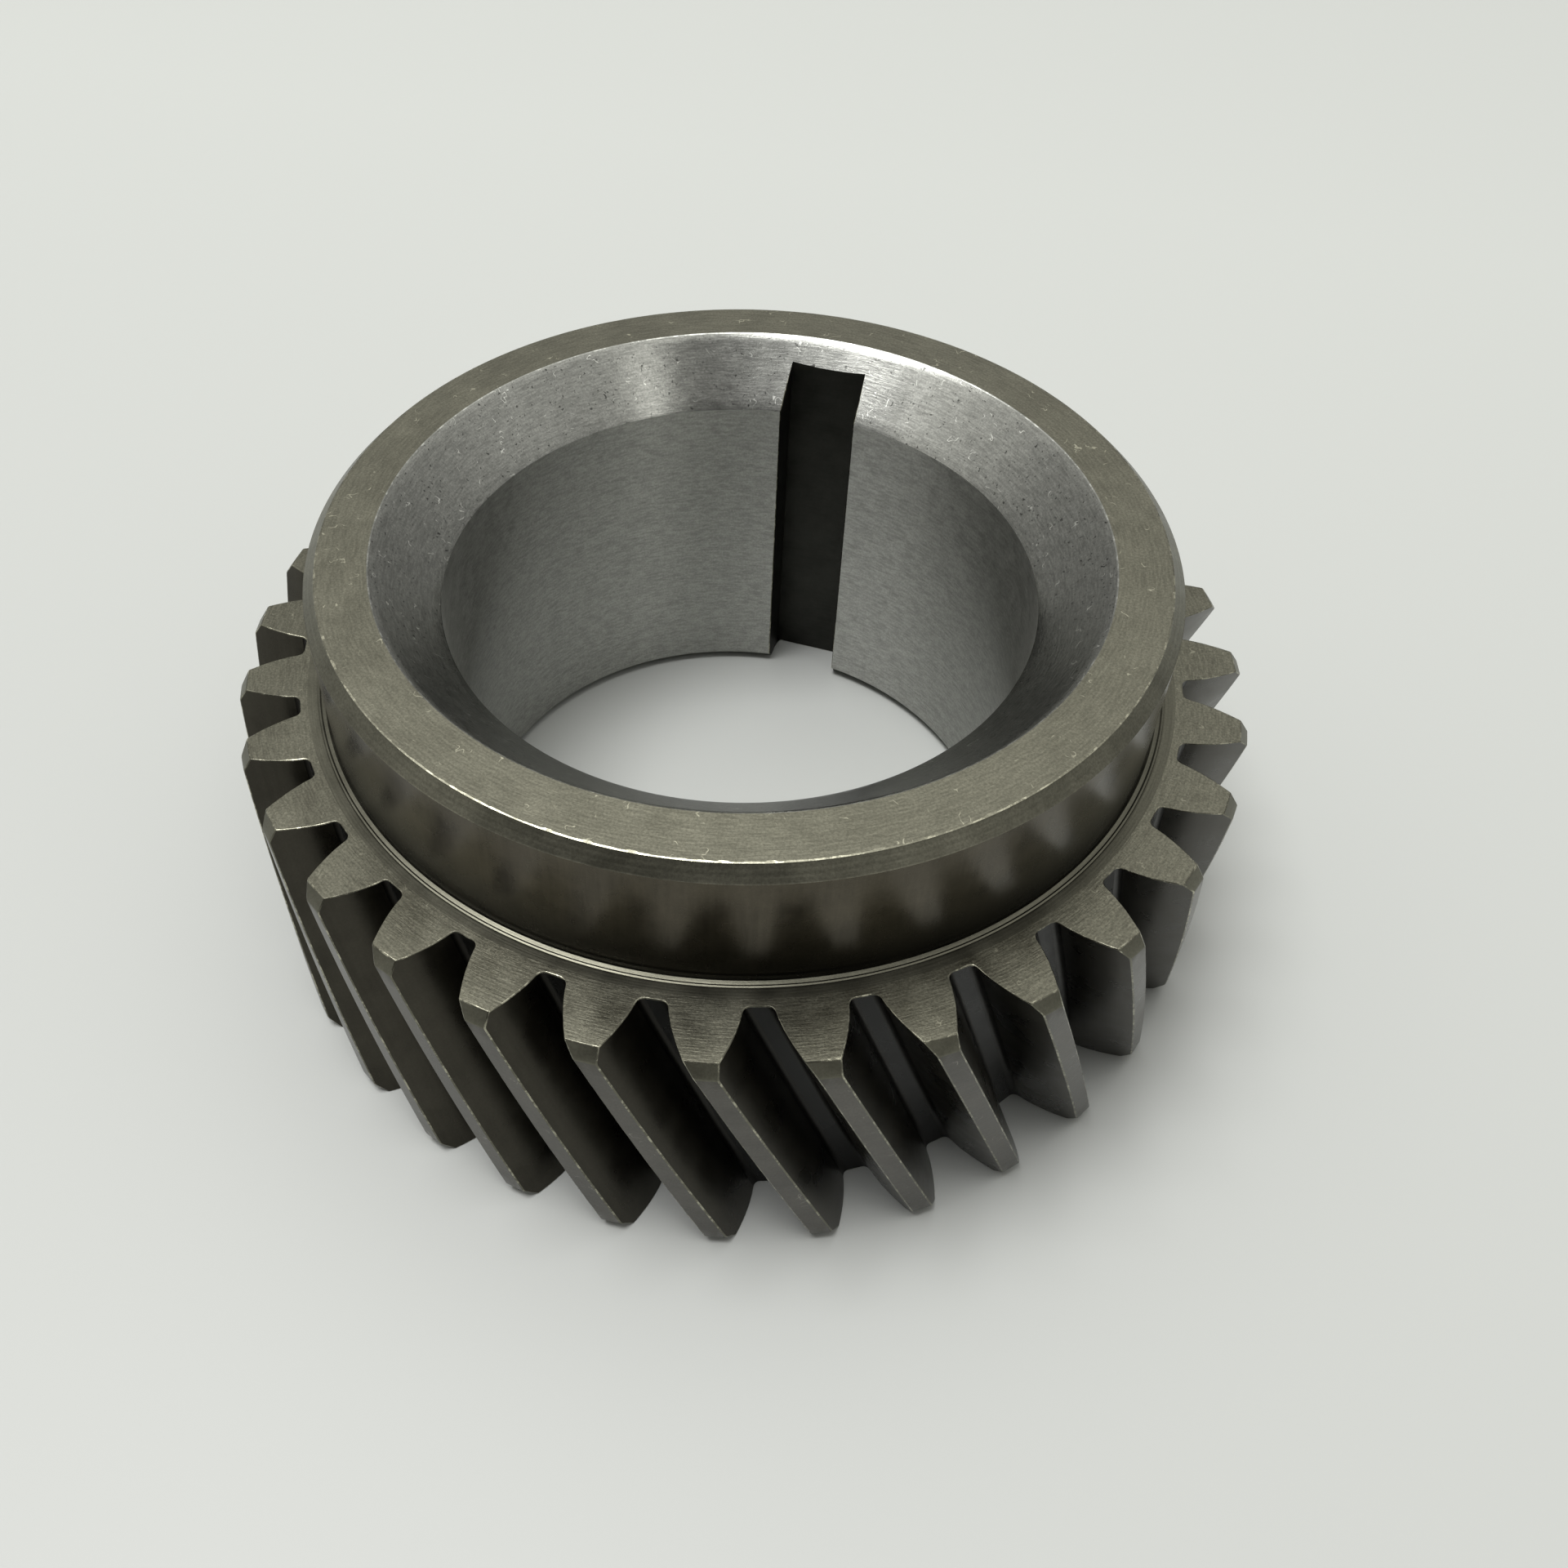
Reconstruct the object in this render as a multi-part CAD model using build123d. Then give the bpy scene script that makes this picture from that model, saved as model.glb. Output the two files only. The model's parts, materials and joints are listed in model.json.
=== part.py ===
from build123d import *
import os
from math import acos, atan, cos, degrees, pi, radians, sin, tan

# One-piece helical timing gear: a ring of left-hand teeth, a plain collar above it,
# a bore with a conical mouth, and one parallel keyway.
# Millimetres and degrees. The origin is on the bore axis at the lower face, and +Z
# points through the collar. The keyway is on the +Y side.

# ---- toothing ----
TEETH = 32
NORMAL_MODULE = 2.0
PRESSURE_ANGLE = 20.0        # in the normal section
HELIX_ANGLE = 20.0           # left hand
PROFILE_SHIFT = 0.2          # in modules
DEDENDUM = 1.25              # in modules
TOOTH_THINNING = 0.08        # backlash allowance, on the arc at the pitch circle
ROOT_FILLET = 0.5
TIP_CHAMFER_RADIAL = 0.65    # at both ends of every tooth
TIP_CHAMFER_AXIAL = 0.9
FLANK_POINTS = 9             # points that each involute flank is drawn through

# ---- body ----
FACE_WIDTH = 22.0            # height of the toothed ring
OVERALL_HEIGHT = 32.0
COLLAR_DIAMETER = 60.0
COLLAR_CHAMFER_RADIAL = 0.85
COLLAR_CHAMFER_AXIAL = 0.9
BORE_DIAMETER = 42.0
BORE_CHAMFER = 0.8           # at the lower face
CONE_MOUTH_DIAMETER = 51.0
CONE_DEPTH = 4.3

# ---- keyway ----
KEY_WIDTH = 6.0
KEYWAY_FLOOR = 23.8          # from the bore axis to the flat floor

OVERRUN = 1.0                # how far the cutters pass the faces that they cut

transverse_module = NORMAL_MODULE / cos(radians(HELIX_ANGLE))
transverse_pressure = atan(tan(radians(PRESSURE_ANGLE)) / cos(radians(HELIX_ANGLE)))
pitch_radius = TEETH * transverse_module / 2
base_radius = pitch_radius * cos(transverse_pressure)
tip_radius = pitch_radius + (1 + PROFILE_SHIFT) * NORMAL_MODULE
root_radius = pitch_radius - (DEDENDUM - PROFILE_SHIFT) * NORMAL_MODULE
shift_widening = 2 * PROFILE_SHIFT * tan(radians(PRESSURE_ANGLE))
tooth_arc = (pi / 2 + shift_widening) * transverse_module - TOOTH_THINNING
twist_per_mm = tan(radians(HELIX_ANGLE)) / pitch_radius


def involute(angle):
    return tan(angle) - angle


def gap_half_angle(radius):
    """Half the angle of a tooth gap at a radius, from the involute."""
    pressure = acos(min(1.0, base_radius / radius))
    tooth = tooth_arc / (2 * pitch_radius) + involute(transverse_pressure) - involute(pressure)
    return pi / TEETH - tooth


def flank(side, outer):
    """One involute flank of a gap centred on +Y, from the root circle outward."""
    points = []
    for i in range(FLANK_POINTS):
        radius = root_radius + (outer - root_radius) * i / (FLANK_POINTS - 1)
        half = gap_half_angle(radius)
        points.append((side * radius * sin(half), radius * cos(half)))
    return points


def gap_section():
    """The space between two teeth, square to the axis, with both root corners filleted."""
    outer = tip_radius + OVERRUN / 2
    left = flank(-1, outer)
    right = flank(1, outer)
    edges = [
        Spline(*left),
        Line(left[-1], right[-1]),
        Spline(*right),
        ThreePointArc(left[0], (0, root_radius), right[0]),
    ]
    section = make_face(edges)
    corners = section.vertices().sort_by(Axis.Y)[:2]
    return fillet(corners, ROOT_FILLET)


def gap_cutter():
    """The gap section carried up the axis while it turns with the left-hand helix."""
    low = -OVERRUN
    high = FACE_WIDTH + OVERRUN
    start_turn = degrees(twist_per_mm) * OVERRUN
    section = Pos(0, 0, low) * Rot(0, 0, start_turn) * gap_section()
    path = Line((0, 0, low), (0, 0, high))
    pitch = 2 * pi / twist_per_mm
    guide = Helix(pitch, high - low, pitch_radius, center=(0, 0, low), lefthand=True)
    return sweep(section, path=path, binormal=guide)


def blank():
    """The turned blank: ring, collar, cone, bore and their chamfers, in one revolve."""
    bore = BORE_DIAMETER / 2
    collar = COLLAR_DIAMETER / 2
    profile = Polyline(
        (bore, BORE_CHAMFER),
        (bore + BORE_CHAMFER, 0),
        (tip_radius - TIP_CHAMFER_RADIAL, 0),
        (tip_radius, TIP_CHAMFER_AXIAL),
        (tip_radius, FACE_WIDTH - TIP_CHAMFER_AXIAL),
        (tip_radius - TIP_CHAMFER_RADIAL, FACE_WIDTH),
        (collar, FACE_WIDTH),
        (collar, OVERALL_HEIGHT - COLLAR_CHAMFER_AXIAL),
        (collar - COLLAR_CHAMFER_RADIAL, OVERALL_HEIGHT),
        (CONE_MOUTH_DIAMETER / 2, OVERALL_HEIGHT),
        (bore, OVERALL_HEIGHT - CONE_DEPTH),
        close=True,
    )
    return revolve(Plane.XZ * make_face(profile), Axis.Z)


def keyway():
    """The keyway cutter, right through the bore and up into the cone."""
    height = OVERALL_HEIGHT + 2 * OVERRUN
    cutter = Box(KEY_WIDTH, KEYWAY_FLOOR, height, align=(Align.CENTER, Align.MIN, Align.MIN))
    return Pos(0, 0, -OVERRUN) * cutter


def helical_gear():
    cutter = gap_cutter()
    gaps = [Rot(0, 0, 360 * i / TEETH) * cutter for i in range(TEETH)]
    return blank() - gaps - keyway()


os.makedirs("parts", exist_ok=True)
gear = helical_gear()
gear.label = "helical_gear"
export_step(gear, "parts/helical_gear.step")
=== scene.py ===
import json
import math

import bmesh
import bpy
import numpy as np
from mathutils import Matrix, Vector


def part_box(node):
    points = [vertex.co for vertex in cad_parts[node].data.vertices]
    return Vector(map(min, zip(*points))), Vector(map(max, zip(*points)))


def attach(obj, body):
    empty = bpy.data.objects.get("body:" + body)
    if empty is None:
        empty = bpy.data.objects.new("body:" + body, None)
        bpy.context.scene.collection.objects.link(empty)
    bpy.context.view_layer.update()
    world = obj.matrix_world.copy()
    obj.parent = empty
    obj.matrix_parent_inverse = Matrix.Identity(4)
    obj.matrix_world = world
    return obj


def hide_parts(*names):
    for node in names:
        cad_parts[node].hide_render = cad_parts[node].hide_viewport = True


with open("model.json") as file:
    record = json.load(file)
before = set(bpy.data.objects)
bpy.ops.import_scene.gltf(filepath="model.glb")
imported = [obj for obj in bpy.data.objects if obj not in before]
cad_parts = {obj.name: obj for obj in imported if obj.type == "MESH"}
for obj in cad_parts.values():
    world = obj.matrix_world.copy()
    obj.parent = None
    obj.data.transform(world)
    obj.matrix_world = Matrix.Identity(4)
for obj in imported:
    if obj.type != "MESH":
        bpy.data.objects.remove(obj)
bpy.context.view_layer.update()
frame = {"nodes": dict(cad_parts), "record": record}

# A one-piece helical timing gear of hardened steel. The mesh is drawn ring by ring round the
# bore axis in millimetres, at the CAD node's own sizes, and stands for that node.

NODE = "helical_gear"
PIECE = "helical_gear_steel"
MM = 0.001


# ---------- sizes that the frame gives ----------

def mount_wall(name):
    """The radius of a round mount and the two heights that its wall runs between."""
    mount = next(m for m in frame["record"]["mounts"] if m["name"] == name)
    middle = mount["pos_m"][2] / MM
    half = mount["dims"]["length_mm"] / 2
    return mount["dims"]["r_mm"], middle - half, middle + half


def widest_radius(node):
    """The largest distance of a CAD node's corners from the bore axis."""
    return max(math.hypot(v.co.x, v.co.y) for v in frame["nodes"][node].data.vertices) / MM


BORE, BORE_LOW, CONE_LOW = mount_wall("bore")
COLLAR, FACE, COLLAR_HIGH = mount_wall("collar_seat")
TIP = widest_radius(NODE) - 0.003    # a hair inside the CAD's own box
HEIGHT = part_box(NODE)[1].z / MM

# ---------- the gear's other driving sizes ----------

TEETH = 32
HELIX_ANGLE = math.radians(20)       # left hand
PRESSURE_ANGLE = math.radians(20)    # in the normal section
NORMAL_MODULE = 2.0
PROFILE_SHIFT = 0.2                  # in modules
DEDENDUM = 1.25                      # in modules
TOOTH_THINNING = 0.08
ROOT_FILLET = 0.5
TIP_CHAMFER_RADIAL = 0.65
TIP_CHAMFER_AXIAL = 0.9
COLLAR_CHAMFER_RADIAL = 0.85
CONE_MOUTH = 25.5
KEY_HALF = 3.0
KEY_FLOOR = 23.8

PITCH = 2 * math.pi / TEETH
TRANSVERSE_MODULE = NORMAL_MODULE / math.cos(HELIX_ANGLE)
TRANSVERSE_PRESSURE = math.atan(math.tan(PRESSURE_ANGLE) / math.cos(HELIX_ANGLE))
PITCH_RADIUS = TEETH * TRANSVERSE_MODULE / 2
BASE_RADIUS = PITCH_RADIUS * math.cos(TRANSVERSE_PRESSURE)
ROOT = PITCH_RADIUS - (DEDENDUM - PROFILE_SHIFT) * NORMAL_MODULE
SHIFT_WIDENING = 2 * PROFILE_SHIFT * math.tan(PRESSURE_ANGLE)
TOOTH_ARC = (math.pi / 2 + SHIFT_WIDENING) * TRANSVERSE_MODULE - TOOTH_THINNING
TWIST = math.tan(HELIX_ANGLE) / PITCH_RADIUS    # radians per millimetre of height
KEY_CORNER = math.hypot(KEY_HALF, KEY_FLOOR)    # from the axis to the keyway's floor corner

# ---------- how finely the mesh is drawn ----------

FILLET_POINTS = 5
FLANK_POINTS = 7
TOOTH_LEVELS = 18     # rings up the teeth between their end chamfers
FLOOR_COLUMNS = 14
WALL_COLUMNS = 5
EDGE = 0.07           # rounding of the machined edges
GROOVES = 5           # turned grooves in the gear face, beside the collar
GROOVE_PITCH = 0.22
GROOVE_DEPTH = 0.04   # of the one nearest the collar
FOOT_GAP = 0.3        # from the collar to the first groove
# The fine shoulder at the collar's foot: how far out from the collar, and how far up.
FOOT_STEPS = [(0.26, 0.0), (0.17, 0.02), (0.1, 0.0), (0.0, -0.03)]
RIDGE = 0.022         # depth of the turned ridges in the collar's chamfer
LIP_STEPS = 12        # rings across the collar's chamfer
RIM_WIDTH = 0.12      # the line round the collar's top, given a brighter tone as a painted highlight
RIM_DROP = 0.035      # how far that line's outer edge lies below the top
EDGE_SAG = 0.3        # how deep an edge's middle point sits, as a share of its rounding
NICKS = 0.02          # the share of an edge's columns that have a deeper nick
NICK_DEPTH = 2.0      # how much deeper, in edge sizes
WELD = 1e-5           # points nearer than this are one point
SHARP = math.radians(28)    # the shading splits at edges that turn more than this
COLUMNS = TEETH * 2 * (FILLET_POINTS + FLANK_POINTS + 3)
ARC_COLUMNS = COLUMNS // 2 - 2 - FLOOR_COLUMNS - WALL_COLUMNS
COLUMN = 2 * math.pi / COLUMNS
RNG = np.random.default_rng(7)


# ---------- the toothed ring ----------

def involute(angle):
    return np.tan(angle) - angle


def gap_half_angle(radius):
    """Half the angle of a tooth gap at a radius."""
    pressure = np.arccos(np.minimum(1.0, BASE_RADIUS / np.asarray(radius, float)))
    tooth = TOOTH_ARC / (2 * PITCH_RADIUS) + involute(TRANSVERSE_PRESSURE) - involute(pressure)
    return PITCH / 2 - tooth


def root_corner():
    """The fillet at a gap's foot, from the root circle to the flank, as angles and radii."""
    radii = np.linspace(ROOT, ROOT + 3 * ROOT_FILLET, 600)
    angles = gap_half_angle(radii)
    flank = np.stack([radii * np.sin(angles), radii * np.cos(angles)], 1)
    near, far = 0.0, angles[0]
    for _ in range(40):    # halving, until the fillet just touches the flank
        turn = (near + far) / 2
        centre = (ROOT + ROOT_FILLET) * np.array([math.sin(turn), math.cos(turn)])
        gaps = np.hypot(*(flank - centre).T)
        if gaps.min() > ROOT_FILLET:
            near = turn
        else:
            far = turn
    touch = flank[gaps.argmin()] - centre
    start = math.atan2(-math.cos(turn), -math.sin(turn))
    end = math.atan2(touch[1], touch[0])
    sweep = np.linspace(start, end, FILLET_POINTS)
    x = centre[0] + ROOT_FILLET * np.cos(sweep)
    y = centre[1] + ROOT_FILLET * np.sin(sweep)
    return np.arctan2(x, y), np.hypot(x, y)


ROOT_CORNER = root_corner()


def pitch_outline(outer):
    """One pitch of the toothing from a gap's middle, for teeth cut off at a radius."""
    foot_angle, foot_radius = ROOT_CORNER
    flank_radius = np.linspace(foot_radius[-1], outer - EDGE, FLANK_POINTS + 1)[1:]
    tip_angle = gap_half_angle(outer) + np.array([EDGE_SAG, 1.0]) * EDGE / outer
    tip_radius = np.array([outer - EDGE_SAG * EDGE, outer])
    half_angle = np.concatenate([foot_angle, gap_half_angle(flank_radius), tip_angle])
    half_radius = np.concatenate([foot_radius, flank_radius, tip_radius])
    angles = np.concatenate([[0.0], half_angle, [PITCH / 2], PITCH - half_angle[::-1]])
    radii = np.concatenate([[ROOT], half_radius, [outer], half_radius[::-1]])
    return angles, radii


def outline_polar(outer, height):
    """The whole toothed outline at a height: angles and radii, counter-clockwise."""
    angles, radii = pitch_outline(outer)
    turns = np.arange(TEETH)[:, None] * PITCH + angles[None, :]
    return math.pi / 2 - TWIST * height + turns.ravel(), np.tile(radii, TEETH)


def ring(angles, radii, height):
    """A closed ring of points from polar values."""
    heights = np.broadcast_to(height, np.shape(angles))
    return np.stack([radii * np.cos(angles), radii * np.sin(angles), heights], 1)


def tooth_ring(outer, height, inset=0.0):
    """The toothed outline at a height, moved into the metal by the inset."""
    points = ring(*outline_polar(outer, height), height)
    along = np.roll(points, -1, 0) - np.roll(points, 1, 0)
    outward = np.stack([along[:, 1], -along[:, 0]], 1)
    outward /= np.linalg.norm(outward, axis=1)[:, None]
    points[:, :2] -= outward * np.reshape(inset, (-1, 1))
    return points


def chamfered_tip(height):
    """The outer radius of the teeth at a height, with the chamfer at both ends."""
    depth = min(height, FACE - height)
    return TIP - TIP_CHAMFER_RADIAL * max(0.0, 1 - depth / TIP_CHAMFER_AXIAL)


def worn(size):
    """A size for each column, uneven like a worn edge, with a few deeper nicks."""
    uneven = RNG.uniform(0.4, 1.2, COLUMNS) + NICK_DEPTH * (RNG.random(COLUMNS) < NICKS)
    return size * (uneven + np.roll(uneven, 1) + np.roll(uneven, -1)) / 3


def tooth_rings():
    """The toothed ring's outside, from the lower face to the upper one."""
    edge = worn(EDGE)
    end = [(0.0, edge), (EDGE_SAG * EDGE, EDGE_SAG * edge), (EDGE, 0.0)]
    chamfer = [(0.5 * TIP_CHAMFER_AXIAL, 0.0), (TIP_CHAMFER_AXIAL - EDGE, 0.0)]
    first = TIP_CHAMFER_AXIAL + EDGE
    body = [(h, 0.0) for h in np.linspace(first, FACE - first, TOOTH_LEVELS)]
    low = end + chamfer
    levels = low + body + [(FACE - h, inset) for h, inset in reversed(low)]
    regions = ["edge"] * 3 + ["chamfer"] * 2 + ["teeth"] * TOOTH_LEVELS
    regions += ["chamfer"] * 3 + ["edge"] * 2
    return [(tooth_ring(chamfered_tip(h), h, inset), region)
            for (h, inset), region in zip(levels, regions)]


# ---------- the turned faces and the collar ----------

TOP_START = math.pi / 2 - TWIST * FACE    # where the columns start on the upper side
INNER_SHIFT = round(TWIST * FACE / COLUMN)    # columns from there to the keyway's middle


def turned_ring(radius, height, start=TOP_START):
    """A ring with evenly spaced columns. The radius can differ from column to column."""
    return ring(start + COLUMN * np.arange(COLUMNS), np.broadcast_to(radius, COLUMNS), height)


def inward_from_teeth(outline, height, start):
    """Two rings below the roots that turn the toothed columns into even ones."""
    angles = np.unwrap(np.arctan2(outline[:, 1], outline[:, 0]))
    even = start + COLUMN * np.arange(COLUMNS)
    angles += 2 * math.pi * round((even[0] - angles[0]) / (2 * math.pi))
    radii = np.full(COLUMNS, ROOT - 0.3)
    return [ring(angles, radii, height), ring((angles + even) / 2, radii - 0.25, height)]


def upper_profile():
    """Radius, height and region of the turned rings, from the gear face to the cone's mouth."""
    first = COLLAR + FOOT_GAP + GROOVE_PITCH * GROOVES
    rows = [(first, FACE, "face")]
    for step in range(1, 2 * GROOVES):
        share = step / (2 * GROOVES)
        depth = GROOVE_DEPTH * share * (step % 2)
        rows.append((first - GROOVE_PITCH * step / 2, FACE - depth, "groove"))
    rows += [(COLLAR + out, FACE + up, "groove") for out, up in FOOT_STEPS]
    rows += [(COLLAR, h, "collar") for h in np.linspace(FACE + 0.3, COLLAR_HIGH, 8)]
    lip_height = HEIGHT - COLLAR_HIGH - RIM_DROP
    for step in range(1, LIP_STEPS + 1):
        share = step / LIP_STEPS
        ridge = RIDGE * (step % 2) * RNG.uniform(0.3, 1.2)
        radius = COLLAR - COLLAR_CHAMFER_RADIAL * share - ridge
        rows.append((radius, COLLAR_HIGH + lip_height * share, "lip"))
    rim = COLLAR - COLLAR_CHAMFER_RADIAL
    # the collar's top line, which carries a painted highlight
    rows += [(rim - worn(RIM_WIDTH), HEIGHT, "collar_top_highlight")]
    rows += [(r, HEIGHT, "turned") for r in np.linspace(rim - 0.4, CONE_MOUTH + 0.5, 5)]
    return rows


# ---------- the cone, the bore and the keyway ----------

def cone_height(radius):
    """The height of the conical mouth at a radius."""
    share = (np.asarray(radius, float) - BORE) / (CONE_MOUTH - BORE)
    return CONE_LOW + (HEIGHT - CONE_LOW) * share


def both_sides(across, along, height):
    """A ring from its half, counter-clockwise from the keyway's middle on +Y."""
    heights = np.broadcast_to(height, across.shape)
    half = np.stack([-across, along, heights], 1)
    mirrored = half[-2:0:-1] * np.array([-1.0, 1.0, 1.0])
    return np.concatenate([half, mirrored])


def floor_across(grow=0.0):
    return (KEY_HALF + grow) * np.linspace(0, 1, FLOOR_COLUMNS + 1)


def keyed_ring(circle, height, floor_height=None, edge=EDGE, grow=0.0):
    """One level of the bore with its keyway."""
    side = KEY_HALF + grow
    floor = KEY_FLOOR + grow
    corner = math.sqrt(max(circle ** 2 - side ** 2, 0.0))
    floor_x = floor_across(grow)
    wall_y = np.linspace(floor, corner + edge, WALL_COLUMNS + 1)[1:]
    start = math.asin(side / circle) + edge / circle
    arc = np.linspace(start, math.pi, ARC_COLUMNS + 1)
    sag = EDGE_SAG * edge
    wall_x = np.full(WALL_COLUMNS, side)
    floor_y = np.full(floor_x.shape, floor)
    across = np.concatenate([floor_x, wall_x, [side + sag], circle * np.sin(arc)])
    along = np.concatenate([floor_y, wall_y, [corner + sag], circle * np.cos(arc)])
    heights = np.full(across.shape, float(height))
    if floor_height is not None:
        heights[:FLOOR_COLUMNS + 1] = floor_height
    return both_sides(across, along, heights)


def mouth_ring(target, lift=0.0):
    """A ring of the cone above the keyway's top, a share of the way to the mouth or past it."""
    floor_angle = np.arctan2(floor_across(), KEY_FLOOR)
    floor_reach = np.hypot(floor_across(), KEY_FLOOR)
    start = floor_angle[-1]
    angles = np.concatenate([floor_angle, np.full(WALL_COLUMNS + 1, start),
                             np.linspace(start, math.pi, ARC_COLUMNS + 1)])
    reach = np.concatenate([floor_reach, np.full(WALL_COLUMNS + ARC_COLUMNS + 2, KEY_CORNER)])
    radii = reach + (CONE_MOUTH - reach) * target
    heights = np.minimum(cone_height(radii), HEIGHT) - lift
    return both_sides(radii * np.sin(angles), radii * np.cos(angles), heights)


def cone_rings():
    """The conical mouth, from its edge down to the bore, with the keyway's upper end."""
    slant = EDGE / math.hypot(CONE_MOUTH - KEY_CORNER, HEIGHT - cone_height(KEY_CORNER))
    rings = [(mouth_ring(1 + slant), "turned"), (mouth_ring(1.0, EDGE_SAG * EDGE), "rim")]
    rings += [(mouth_ring(1 - slant), "rim")]
    rings += [(mouth_ring(share), "cone") for share in (0.66, 0.33, 0.0)]
    crossing = cone_height(np.hypot(floor_across(), KEY_FLOOR))
    for share in (0.1, 0.25, 0.5, 0.75, 0.96):
        circle = KEY_CORNER + (BORE - KEY_CORNER) * share
        floor_height = crossing + (CONE_LOW - crossing) * share
        edge = EDGE * min(1, 2 * share)
        rings.append((keyed_ring(circle, cone_height(circle), floor_height, edge), "keyed_cone"))
    return rings


def bore_rings():
    """The bore and the keyway from the cone down to the lower face.

    The chamfer at the lower face is as wide as it is high.
    """
    sag = EDGE_SAG * EDGE
    levels = [(BORE + 0.01, CONE_LOW - 0.02, 0.0, "keyed_cone")]
    levels += [(BORE, h, 0.0, "keyed") for h in np.linspace(CONE_LOW - 0.25, BORE_LOW + 0.15, 8)]
    levels += [(BORE + 0.02, BORE_LOW, 0.0, "keyed")]
    levels += [(BORE + BORE_LOW - EDGE, EDGE, 0.0, "keyed")]
    levels += [(BORE + BORE_LOW - sag, sag, sag, "edge")]
    levels += [(BORE + BORE_LOW + EDGE, 0.0, EDGE, "edge")]
    return [(keyed_ring(circle, height, grow=grow), region) for circle, height, grow, region in levels]


# ---------- the mesh ----------

def tooth_column_regions():
    """The region of the strip that starts at each column of the toothed outline."""
    rising = ["land"] + ["root"] * (FILLET_POINTS - 1) + ["flank"] * FLANK_POINTS + ["edge"] * 2
    return (rising + ["tip"] * 2 + rising[:0:-1] + ["land"]) * TEETH


def keyway_column_regions():
    """The region of the strip that starts at each column of the bore, below the cone."""
    half = ["keyway"] * (FLOOR_COLUMNS + WALL_COLUMNS) + ["edge"] * 2 + ["bore"] * ARC_COLUMNS
    return half + half[::-1]


def replaced(regions, old, new):
    """The same regions with one of them changed for another."""
    return [new if region == old else region for region in regions]


def section_rows():
    """Every ring in order round the section, with the region of the strip that ends at it."""
    inner = cone_rings() + bore_rings()
    teeth = tooth_rings()
    low_start = math.pi / 2
    rows = [(inner[-1][0], "face")]
    rows += [(turned_ring(r, 0.0, low_start), "face") for r in (25.0, 28.0, 31.0)]
    rows += [(r, "face") for r in reversed(inward_from_teeth(teeth[0][0], 0.0, low_start))]
    rows += [(teeth[0][0], "face")]
    rows += teeth[1:]
    rows += [(r, "face") for r in inward_from_teeth(teeth[-1][0], FACE, TOP_START)]
    rows += [(turned_ring(r, h), region) for r, h, region in upper_profile()]
    rows += [(np.roll(r, INNER_SHIFT, 0), region) for r, region in inner]
    return rows


def gear_mesh():
    """The whole gear as one closed skin, with a material for each region of its surface."""
    rows = section_rows()
    teeth = tooth_column_regions()
    keyed = list(np.roll(keyway_column_regions(), INNER_SHIFT))
    by_column = {
        "teeth": teeth,
        "chamfer": replaced(teeth, "tip", "chamfer"),
        "keyed": keyed,
        "keyed_cone": replaced(keyed, "bore", "cone"),
    }
    here = np.arange(COLUMNS)
    beside = (here + 1) % COLUMNS
    faces = []
    regions = []
    for i in range(1, len(rows)):
        low = (i - 1) * COLUMNS
        high = i * COLUMNS
        region = rows[i][1]
        faces += np.stack([low + here, low + beside, high + beside, high + here], 1).tolist()
        regions += by_column.get(region, [region] * COLUMNS)
    points = np.concatenate([r for r, _ in rows]) * MM
    mesh = bpy.data.meshes.new(PIECE)
    mesh.from_pydata(points.tolist(), [], faces)
    mesh.polygons.foreach_set("material_index", [REGIONS.index(r) for r in regions])
    return mesh


def finish_mesh(mesh):
    """Joins the rings that meet, and splits the shading at the machined edges."""
    bm = bmesh.new()
    bm.from_mesh(mesh)
    bmesh.ops.remove_doubles(bm, verts=bm.verts, dist=WELD * MM)
    rounded = REGIONS.index("edge")
    flat = [REGIONS.index("face"), REGIONS.index("turned")]
    for face in bm.faces:
        face.smooth = face.material_index not in flat
    for edge in bm.edges:
        sides = [face.material_index == rounded for face in edge.link_faces]
        edge.smooth = all(sides) or (not any(sides) and edge.calc_face_angle(0.0) < SHARP)
    bm.to_mesh(mesh)
    bm.free()


def store_directions(mesh):
    """Two vectors in millimetres for the materials: round the axis, and along the teeth."""
    count = len(mesh.vertices)
    co = np.zeros(count * 3)
    mesh.vertices.foreach_get("co", co)
    x, y, z = co.reshape(-1, 3).T / MM
    radius = np.hypot(x, y)
    angle = np.arctan2(y, x)
    lead = angle + TWIST * z
    around = np.stack([COLLAR * np.cos(angle), COLLAR * np.sin(angle), radius + z], 1)
    along = np.stack([COLLAR * np.cos(lead), COLLAR * np.sin(lead), radius], 1)
    for name, values in (("around", around), ("along", along)):
        attribute = mesh.attributes.new(name, "FLOAT_VECTOR", "POINT")
        attribute.data.foreach_set("vector", values.ravel())


def make_gear():
    """The one piece, which rides on the gear's body and stands for its node."""
    mesh = gear_mesh()
    finish_mesh(mesh)
    store_directions(mesh)
    gear = bpy.data.objects.new(PIECE, mesh)
    bpy.context.scene.collection.objects.link(gear)
    for region in REGIONS:
        mesh.materials.append(steel(region, **FINISHES[region]))
    even = gear.modifiers.new("large faces lead the shading", "WEIGHTED_NORMAL")
    even.keep_sharp = True
    even.weight = 100
    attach(gear, "root")
    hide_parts(NODE)


# ---------- materials ----------

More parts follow.
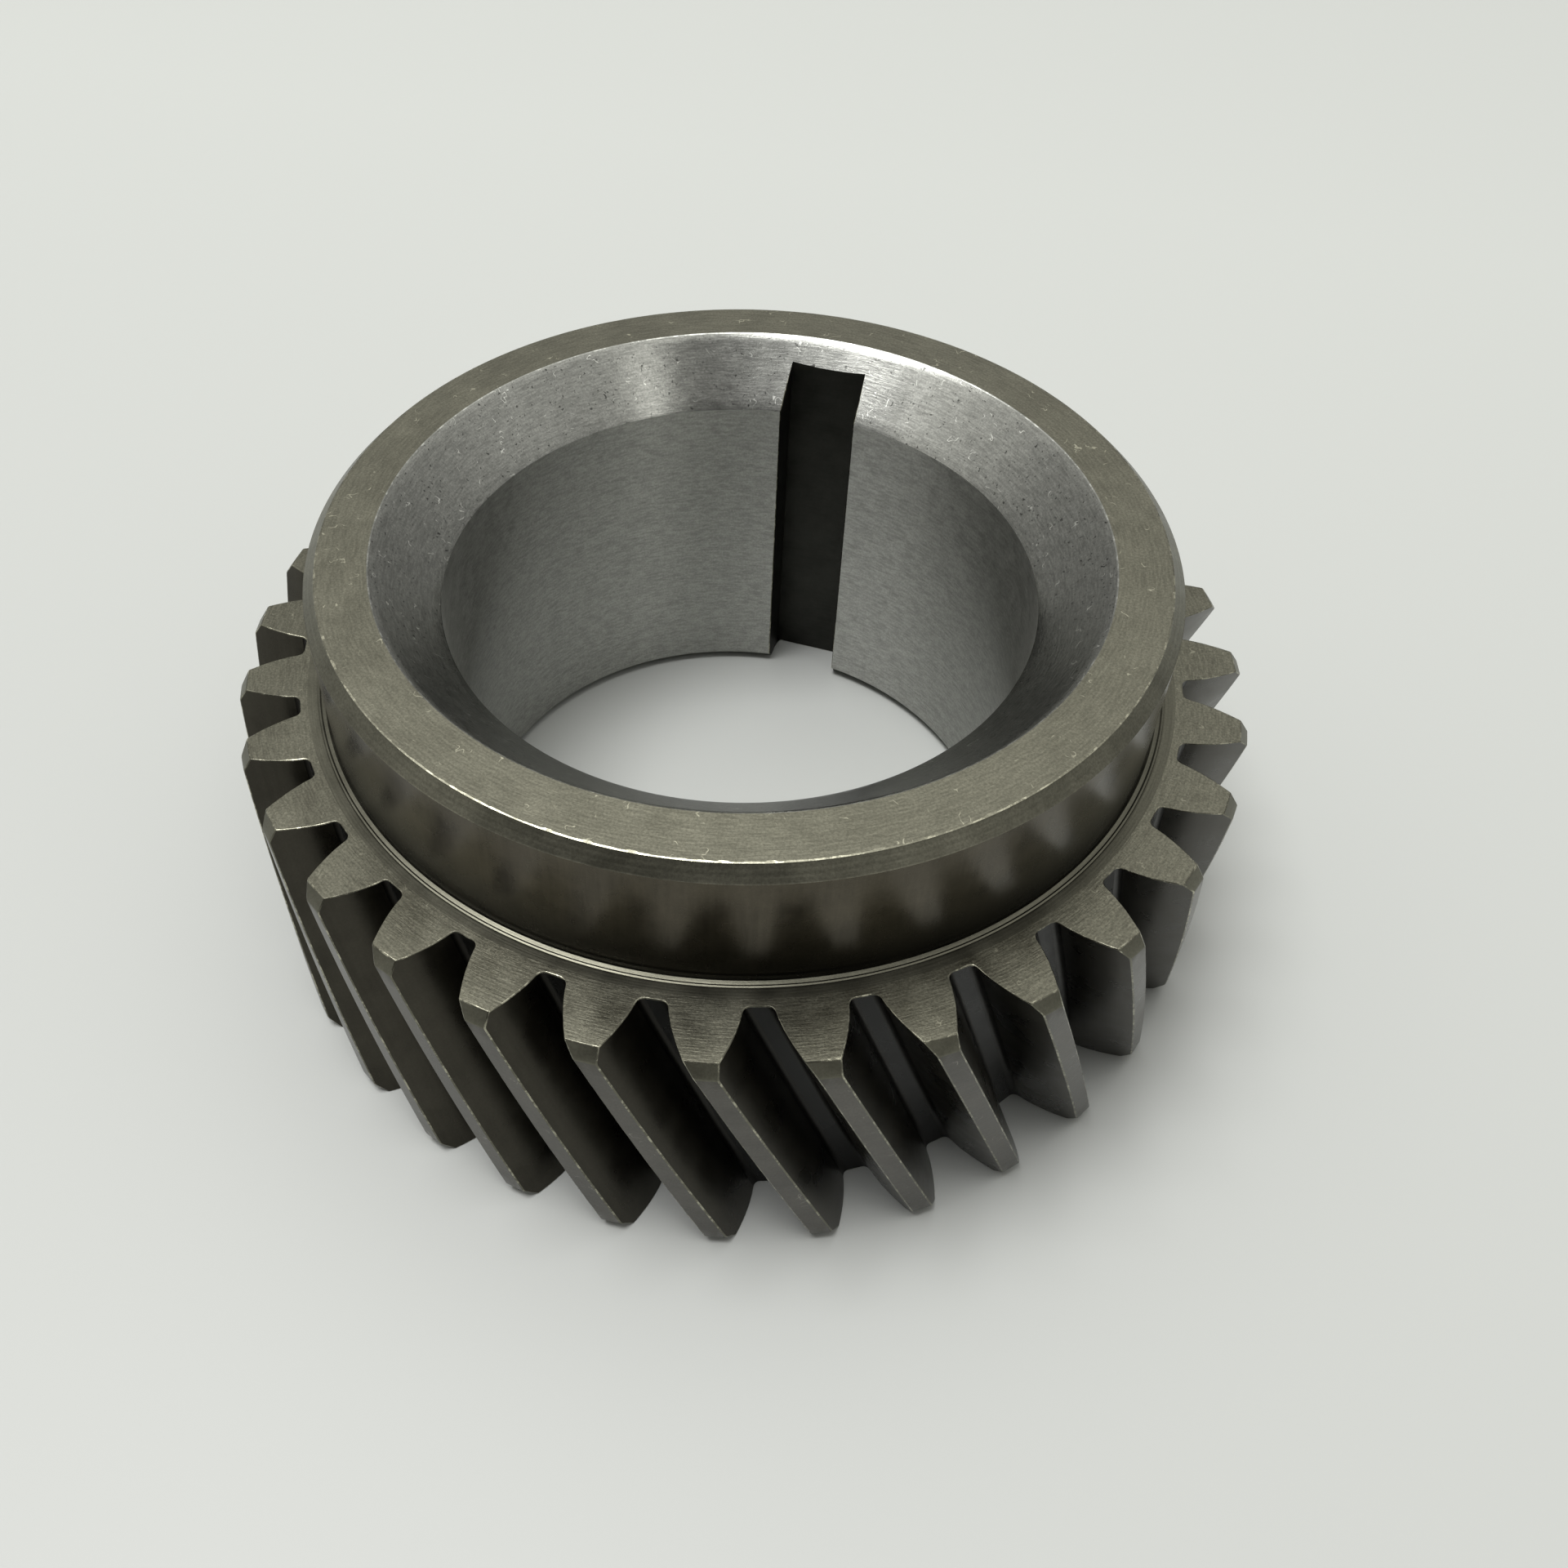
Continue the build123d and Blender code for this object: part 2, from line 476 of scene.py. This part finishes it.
class Graph:
    """Short ways to add nodes to one node tree. Each gives the socket that it makes."""

    def __init__(self, tree):
        self.tree = tree
        tree.nodes.clear()

    def node(self, kind, inputs=(), **settings):
        made = self.tree.nodes.new(kind)
        for key, value in settings.items():
            setattr(made, key, value)
        for key, value in dict(inputs).items():
            if isinstance(value, bpy.types.NodeSocket):
                self.tree.links.new(value, made.inputs[key])
            else:
                made.inputs[key].default_value = value
        return made

    def attribute(self, name):
        return self.node("ShaderNodeAttribute", attribute_name=name).outputs["Vector"]

    def position(self):
        """The point on the object, in millimetres."""
        place = self.node("ShaderNodeTexCoord").outputs["Object"]
        return self.stretch(place, (1 / MM,) * 3)

    def stretch(self, vector, scale):
        return self.node("ShaderNodeVectorMath", {0: vector, 1: scale}, operation="MULTIPLY").outputs[0]

    def noise(self, vector, scale=1.0, detail=2.0, rough=0.5):
        inputs = {"Vector": vector, "Scale": scale, "Detail": detail, "Roughness": rough}
        return self.node("ShaderNodeTexNoise", inputs).outputs["Fac"]

    def math(self, operation, a, b=0.0):
        return self.node("ShaderNodeMath", {0: a, 1: b}, operation=operation).outputs[0]

    def span(self, value, low, high, to_low=0.0, to_high=1.0):
        """The value carried from one range to another, and kept inside it."""
        inputs = {"Value": value, "From Min": low, "From Max": high, "To Min": to_low, "To Max": to_high}
        return self.node("ShaderNodeMapRange", inputs).outputs["Result"]

    def mix(self, share, a, b):
        inputs = {0: share, 6: a, 7: b}
        return self.node("ShaderNodeMix", inputs, data_type="RGBA").outputs[2]


def colour(red, green, blue):
    return (red, green, blue, 1.0)


def steel(name, tone, rough, spread=0.06, anisotropy=0.0, guide="around", streak=(3.0, 0.25),
          streak_depth=0.15, mottle=0.2, cloud=3.0, grain=0.15, chips_and_glints=0.0, pits=0.0, scratches=0.0,
          foot=0.0, bump=0.3):
    """One finish of the same steel: a tone, its unevenness, marks of work and wear, and painted shade
    and highlight.

    Streaks follow the guide, "around" the axis or "along" the teeth. Lengths are in millimetres,
    and depths run from 0 to 1.
    """
    material = bpy.data.materials.new(f"steel_{name}")
    material.use_nodes = True
    g = Graph(material.node_tree)
    place = g.position()
    length, width = streak
    drawn = g.stretch(g.attribute(guide), (1 / length, 1 / length, 1 / width))
    streaks = g.noise(drawn, 1.0, 3.0, 0.6)
    clouds = g.noise(place, 1 / cloud, 3.0, 0.55)
    specks = g.noise(place, 6.0, 2.0, 0.7)
    tone_now = g.mix(g.span(clouds, 0.3, 0.7), shade(tone, 1 - mottle), shade(tone, 1 + mottle))
    tone_now = g.mix(g.span(streaks, 0.35, 0.65, 0.0, streak_depth), tone_now, shade(tone, 1.6))
    tone_now = g.mix(g.span(specks, 0.35, 0.65, 0.0, grain), tone_now, shade(tone, 0.45))
    if foot:    # painted shade: the collar darker near the gear face, at its foot
        height = g.node("ShaderNodeSeparateXYZ", {0: place}).outputs["Z"]
        foot_shade = g.span(height, FACE, FACE + foot, 1.0, 0.0)
        tone_now = g.mix(foot_shade, tone_now, shade(tone, 0.1))
    if chips_and_glints:    # bright worn metal in uneven spots: chipped places, and a painted highlight along the edges
        chip_glints = g.noise(place, 1.1, 4.0, 0.8)
        tone_now = g.mix(g.span(chip_glints, 0.50, 0.60, 0.0, chips_and_glints), tone_now, shade(tone, 3.0))
    if pits:    # small dark holes
        holes = g.noise(place, 3.6, 2.0, 0.6)
        hole = g.span(holes, 0.70 - pits, 0.74 - pits, 0.0, 0.85)
        tone_now = g.mix(hole, tone_now, shade(tone, 0.15))
    if scratches:    # thin curved bright lines, in a few places only
        away = g.math("ABSOLUTE", g.math("SUBTRACT", g.noise(place, 0.8, 2.0), 0.5))
        line = g.span(away, 0.004, 0.012, 1.0, 0.0)
        part = g.span(g.noise(place, 0.9, 1.0), 0.63, 0.68, 0.0, scratches)
        tone_now = g.mix(g.math("MULTIPLY", line, part), tone_now, shade(tone, 3.0))
    rough_now = g.span(clouds, 0.3, 0.7, rough - spread, rough + spread)
    surface = g.math("ADD", g.math("MULTIPLY", streaks, 0.7), g.math("MULTIPLY", specks, 0.3))
    relief = g.node("ShaderNodeBump", {"Height": surface, "Strength": bump, "Distance": 0.02 * MM})
    inputs = {
        "Base Color": tone_now,
        "Metallic": 1.0,
        "Roughness": rough_now,
        "Anisotropic": anisotropy,
        "Anisotropic Rotation": 0.25,
        "Normal": relief.outputs["Normal"],
    }
    if anisotropy:
        inputs["Tangent"] = g.node("ShaderNodeTangent", direction_type="RADIAL", axis="Z").outputs[0]
    shader = g.node("ShaderNodeBsdfPrincipled", inputs)
    g.node("ShaderNodeOutputMaterial", {"Surface": shader.outputs[0]})
    return material


def shade(tone, share):
    return colour(*(min(1.0, c * share) for c in tone[:3]))


OLIVE = colour(0.150, 0.146, 0.114)
GREY = colour(0.300, 0.303, 0.283)
BROWN = colour(0.100, 0.088, 0.066)
# the flanks' tone, darkened to paint the shade in the gaps between the teeth
FLANK_IN_SHADE = colour(0.055, 0.051, 0.041)

FINISHES = {
    "turned": dict(tone=OLIVE, rough=0.36, streak=(1.5, 0.15), streak_depth=0.6, mottle=0.08,
                   grain=0.5, scratches=0.8, bump=0.7),
    "face": dict(tone=shade(OLIVE, 0.85), rough=0.30, streak=(1.0, 0.13), streak_depth=0.8,
                 mottle=0.14, grain=0.6, scratches=0.4, bump=0.7),
    "groove": dict(tone=shade(OLIVE, 0.6), rough=0.34, streak=(4.0, 0.1), streak_depth=0.5,
                   mottle=0.1, grain=0.3),
    # a painted highlight: the collar's top line in a brighter tone
    "collar_top_highlight": dict(tone=shade(OLIVE, 1.4), rough=0.3, mottle=0.3, grain=0.5, chips_and_glints=0.5),
    # the collar gets painted shade at its foot, from the gear face up (foot)
    "collar": dict(tone=shade(BROWN, 0.85), rough=0.28, spread=0.04, streak=(0.35, 4.0),
                   streak_depth=0.25, mottle=0.25, grain=0.15, foot=5.5, bump=0.3),
    "lip": dict(tone=OLIVE, rough=0.34, streak=(3.0, 0.07), streak_depth=0.6, grain=0.45),
    "cone": dict(tone=shade(GREY, 0.76), rough=0.23, spread=0.015, anisotropy=0.66,
                 streak=(1.3, 0.22), streak_depth=0.8, mottle=0.12, cloud=1.2, grain=0.4,
                 pits=0.05, scratches=0.9, bump=0.5),
    "bore": dict(tone=shade(GREY, 1.05), rough=0.37, spread=0.02, anisotropy=0.98, streak=(1.3, 0.22),
                 streak_depth=0.6, mottle=0.12, cloud=1.2, grain=0.35, bump=0.3),
    # the cone's mouth: chipped spots in a bright tone, which also paint a highlight on its edge
    "rim": dict(tone=shade(GREY, 0.8), rough=0.3, mottle=0.2, grain=0.3, chips_and_glints=0.4),
    # painted shade: the keyway's recess in a near-black tone
    "keyway": dict(tone=colour(0.035, 0.035, 0.031), rough=0.45, mottle=0.3),
    # painted shade: the flanks darker than bare steel, for the gaps between the teeth
    "flank": dict(tone=FLANK_IN_SHADE, rough=0.3, guide="along", streak=(0.6, 0.5), streak_depth=0.15, mottle=0.2,
                  grain=0.15, bump=0.02),
    # painted shade: roots and lands between the teeth in a near-black tone
    "root": dict(tone=colour(0.015, 0.014, 0.012), rough=0.35, guide="along", mottle=0.1, bump=0.02),
    "land": dict(tone=colour(0.012, 0.012, 0.0115), rough=0.3, guide="along", mottle=0.2,
                 bump=0.05),
    "tip": dict(tone=colour(0.105, 0.10, 0.09), rough=0.3, streak=(2.0, 0.3), mottle=0.25, cloud=5.0,
                grain=0.25, scratches=0.6),
    "chamfer": dict(tone=shade(OLIVE, 0.95), rough=0.4, mottle=0.2, grain=0.3),
    # edges: chipped spots in a bright tone, which also paint the highlight along them
    "edge": dict(tone=OLIVE, rough=0.28, mottle=0.1, grain=0.2, chips_and_glints=0.9),
}
REGIONS = list(FINISHES)


# ---------- studio ----------

def compass(azimuth, elevation):
    """A direction: azimuth is clockwise from +Y seen from above, in degrees."""
    a = math.radians(azimuth)
    e = math.radians(elevation)
    return (math.sin(a) * math.cos(e), math.cos(a) * math.cos(e), math.sin(e))


# Round patches of the room: azimuth, elevation, radius of the even middle, radius of the
# faded edge (all in degrees), and how many times as bright the middle is as its surroundings.
ROOM_PATCHES = [
    (179, 40, 36, 38, 0.20),
    (98, 50, 6, 18, 0.72),
    (127, 51, 3, 9, 3.3),
    (-113, 44, 20, 26, 1.25),
    (12, 52, 10, 30, 1.15),
]
BACKDROP = 0.66     # the even tone of the room where it is seen directly, past the floor's edge
FLOOR_SIZE = 3.0    # in metres


def make_world():
    """A soft room: brightest overhead, dim near the floor, and dark where the viewer stands."""
    world = bpy.data.worlds.new("soft_room")
    world.use_nodes = True
    bpy.context.scene.world = world
    g = Graph(world.node_tree)
    way = g.node("ShaderNodeTexCoord").outputs["Generated"]
    height = g.node("ShaderNodeSeparateXYZ", {0: way}).outputs["Z"]
    rise = g.math("POWER", g.math("MAXIMUM", height, 0.0), 2.5)
    light = g.span(rise, 0.0, 1.0, 0.37, 1.85)
    for azimuth, elevation, inner, outer, change in ROOM_PATCHES:
        toward = {0: way, 1: compass(azimuth, elevation)}
        facing = g.node("ShaderNodeVectorMath", toward, operation="DOT_PRODUCT").outputs["Value"]
        edge = [math.cos(math.radians(a)) for a in (outer, inner)]
        light = g.math("MULTIPLY", light, g.span(facing, *edge, 1.0, change))
    seen = g.node("ShaderNodeLightPath").outputs["Is Camera Ray"]
    strength = g.span(seen, 0.0, 1.0, light, BACKDROP)
    back = g.node("ShaderNodeBackground", {"Color": colour(1.0, 0.995, 0.95), "Strength": strength})
    g.node("ShaderNodeOutputWorld", {"Surface": back.outputs[0]})


def make_floor():
    """A plain pale board with painted shade: darker toward the camera, lighter toward the back."""
    mesh = bpy.data.meshes.new("floor")
    half = FLOOR_SIZE / 2
    corners = [(-half, -half, 0), (half, -half, 0), (half, half, 0), (-half, half, 0)]
    mesh.from_pydata(corners, [], [(0, 1, 2, 3)])
    floor = bpy.data.objects.new("floor", mesh)
    bpy.context.scene.collection.objects.link(floor)
    material = bpy.data.materials.new("pale_board")
    material.use_nodes = True
    g = Graph(material.node_tree)
    depth = g.node("ShaderNodeSeparateXYZ", {0: g.position()}).outputs["Y"]
    # painted shade: the board darker toward the camera
    tone = g.mix(g.span(depth, -90.0, 120.0), colour(0.36, 0.368, 0.357), colour(0.41, 0.422, 0.405))
    shader = g.node("ShaderNodeBsdfPrincipled", {"Base Color": tone, "Roughness": 0.55})
    g.node("ShaderNodeOutputMaterial", {"Surface": shader.outputs[0]})
    mesh.materials.append(material)


def make_lamp(name, azimuth, elevation, distance, size, power):
    """A soft square lamp that faces the gear. Distance and size are in metres."""
    light = bpy.data.lights.new(name, "AREA")
    light.size = size
    light.energy = power
    lamp = bpy.data.objects.new(name, light)
    way = Vector(compass(azimuth, elevation))
    lamp.location = way * distance
    lamp.rotation_euler = way.to_track_quat("Z", "Y").to_euler()
    bpy.context.scene.collection.objects.link(lamp)


def make_camera():
    """The view from above, across the bore from the keyway."""
    data = bpy.data.cameras.new("camera")
    data.sensor_width = 36.0
    data.lens = 33.806
    data.shift_x = 0.0854
    data.shift_y = -0.0369
    data.clip_start = 0.005
    azimuth = math.radians(16.907)
    reach, height = 80.19, 96.20    # from the bore axis, and over the floor, in millimetres
    heading, pitch, roll = (math.radians(a) for a in (-21.592, 46.197, -1.977))
    level = Vector((math.cos(heading), -math.sin(heading), 0))
    ahead = Vector((math.sin(heading), math.cos(heading), 0))
    forward = ahead * math.cos(pitch) - Vector((0, 0, math.sin(pitch)))
    upright = level.cross(forward)
    right = math.cos(roll) * level + math.sin(roll) * upright
    top = math.cos(roll) * upright - math.sin(roll) * level
    turn = Matrix((right, top, -forward)).transposed().to_4x4()
    place = Vector((reach * math.sin(azimuth), -reach * math.cos(azimuth), height)) * MM
    camera = bpy.data.objects.new("camera", data)
    camera.matrix_world = Matrix.Translation(place) @ turn
    bpy.context.scene.collection.objects.link(camera)
    bpy.context.scene.camera = camera


make_gear()
make_world()
make_floor()
make_lamp("overhead", -110, 76, 1.2, 0.55, 14.0)
make_camera()
bpy.context.scene.view_settings.view_transform = "Standard"
